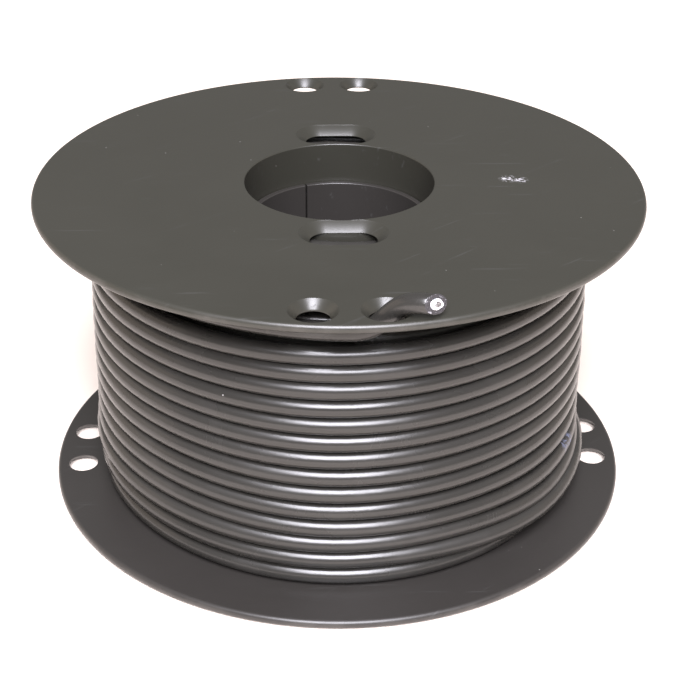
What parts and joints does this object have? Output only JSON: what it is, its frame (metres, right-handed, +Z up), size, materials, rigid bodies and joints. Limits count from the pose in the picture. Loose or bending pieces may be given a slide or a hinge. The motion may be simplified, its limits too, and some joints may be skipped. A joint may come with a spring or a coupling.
{
  "type": "wire spool",
  "caption": "Moulded plastic reel in two plug-together halves, full of round steel-core cable whose bare cut end comes up through a hole in the upper flange.",
  "frame": {"origin": "centre of the lower flange's underside, on the surface that the spool stands on", "axes": "+Z up along the spool's axis; -Y towards the pair of rim holes that the cable's end comes out of"},
  "size_m": [0.2, 0.2, 0.114],
  "materials": {
    "black_plastic": "satin, moulded, faintly scuffed",
    "cable_sheath": "semi-gloss, extruded",
    "white_insulation": "cut, slightly waxy",
    "bare_steel": "galvanised, cut end"
  },
  "bodies": {
    "root": {"upper_half": "black_plastic", "lower_half": "black_plastic", "cable_winding": "cable_sheath", "cable_tail": "cable_sheath", "tail_insulation": "white_insulation", "tail_conductor": "bare_steel"}
  },
  "joints": []
}
